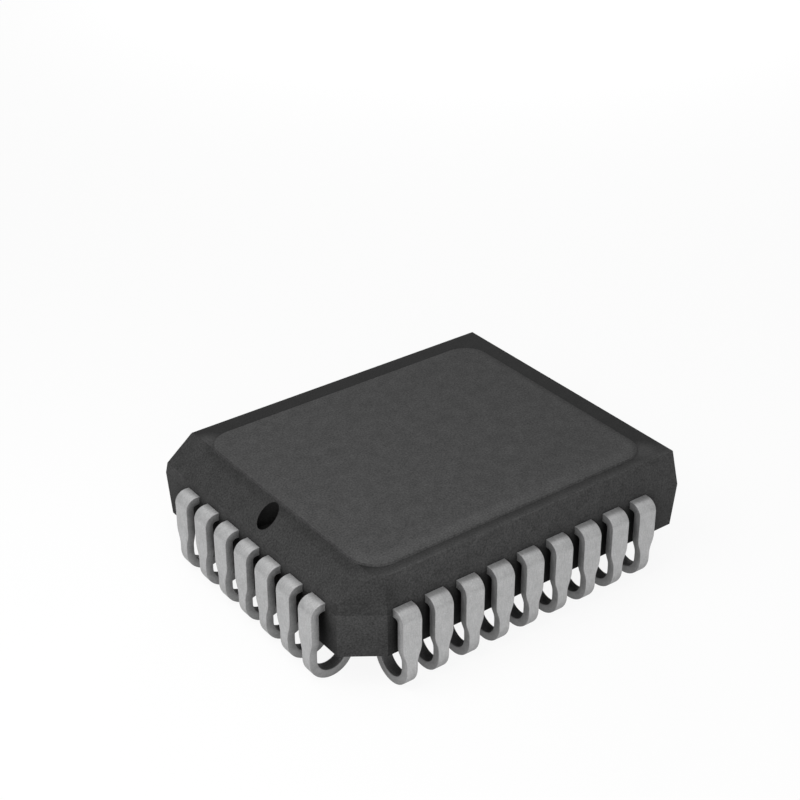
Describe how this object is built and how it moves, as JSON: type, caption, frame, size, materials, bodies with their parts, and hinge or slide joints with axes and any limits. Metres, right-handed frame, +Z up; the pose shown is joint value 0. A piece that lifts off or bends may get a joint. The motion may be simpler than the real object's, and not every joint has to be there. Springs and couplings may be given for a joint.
{
  "type": "plcc chip",
  "caption": "Plastic leaded chip carrier: a dark moulded body with a bevelled, dimpled pin 1 end and a chamfered corner, standing on J-leads curled under every side.",
  "frame": {"origin": "middle of the footprint on the board plane, where the curled leads stand", "axes": "+X along the long sides, away from the bevelled pin 1 end; +Y along the short sides, away from the chamfered corner; +Z up, away from the board"},
  "size_m": [0.015, 0.0126, 0.0044],
  "materials": {
    "moulding": "fine matte grain, smoother along the rim of the top",
    "plated_lead": "tin plated with fine lengthwise streaks",
    "lead_frame": "bare copper alloy",
    "silicon": "polished silicon",
    "bond_wire": "bright gold"
  },
  "bodies": {
    "root": {"body": "moulding", "die_pad": "lead_frame", "die": "silicon", "bond_wires": "bond_wire", "lead_01": "plated_lead", "lead_02": "plated_lead", "lead_03": "plated_lead", "lead_04": "plated_lead", "lead_05": "plated_lead", "lead_06": "plated_lead", "lead_07": "plated_lead", "lead_08": "plated_lead", "lead_09": "plated_lead", "lead_10": "plated_lead", "lead_11": "plated_lead", "lead_12": "plated_lead", "lead_13": "plated_lead", "lead_14": "plated_lead", "lead_15": "plated_lead", "lead_16": "plated_lead", "lead_17": "plated_lead", "lead_18": "plated_lead", "lead_19": "plated_lead", "lead_20": "plated_lead", "lead_21": "plated_lead", "lead_22": "plated_lead", "lead_23": "plated_lead", "lead_24": "plated_lead", "lead_25": "plated_lead", "lead_26": "plated_lead", "lead_27": "plated_lead", "lead_28": "plated_lead", "lead_29": "plated_lead", "lead_30": "plated_lead", "lead_31": "plated_lead", "lead_32": "plated_lead"}
  },
  "joints": []
}
